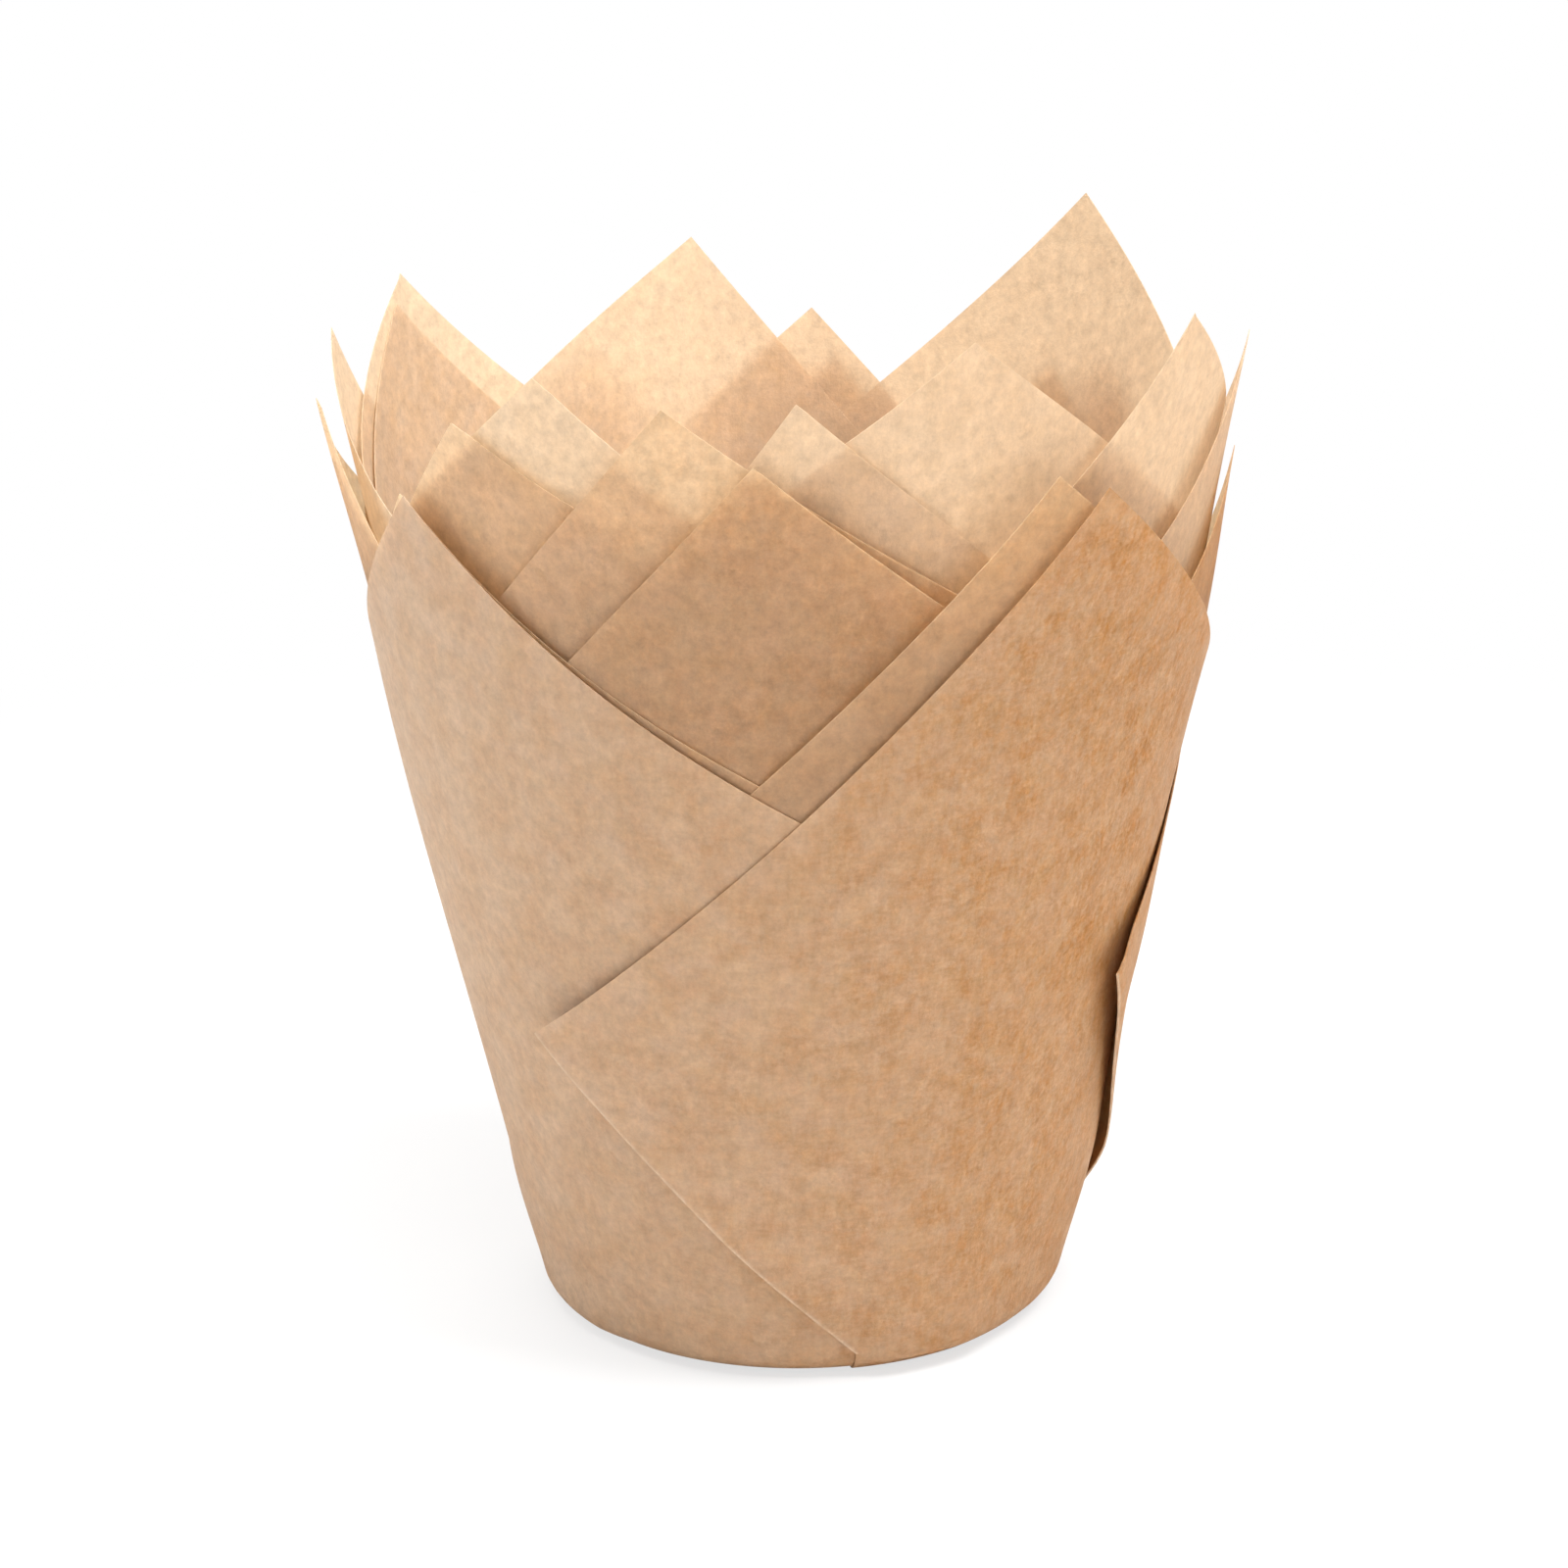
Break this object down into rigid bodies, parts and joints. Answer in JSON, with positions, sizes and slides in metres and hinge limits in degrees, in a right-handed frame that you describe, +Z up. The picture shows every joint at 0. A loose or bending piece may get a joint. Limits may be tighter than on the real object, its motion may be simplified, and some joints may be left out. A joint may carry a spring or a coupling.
{
  "type": "cupcake liner",
  "caption": "Tulip-shaped paper cupcake liner: a nest of square sheets, each folded to a flared cup with a round flat base, pointed petals and one-way pleats.",
  "frame": {"origin": "middle of the underside of the outermost sheet's base, on the surface the liner stands on", "axes": "+Z up along the cup's axis, front towards -Y, +X to the right as seen from the front"},
  "size_m": [0.081, 0.0811, 0.0961],
  "materials": {
    "paper": "unbleached brown greaseproof paper, matt and slightly see-through"
  },
  "bodies": {
    "root": {"sheet_1": "paper", "sheet_2": "paper", "sheet_3": "paper", "sheet_4": "paper", "sheet_5": "paper", "sheet_6": "paper", "sheet_7": "paper", "sheet_8": "paper"}
  },
  "joints": []
}
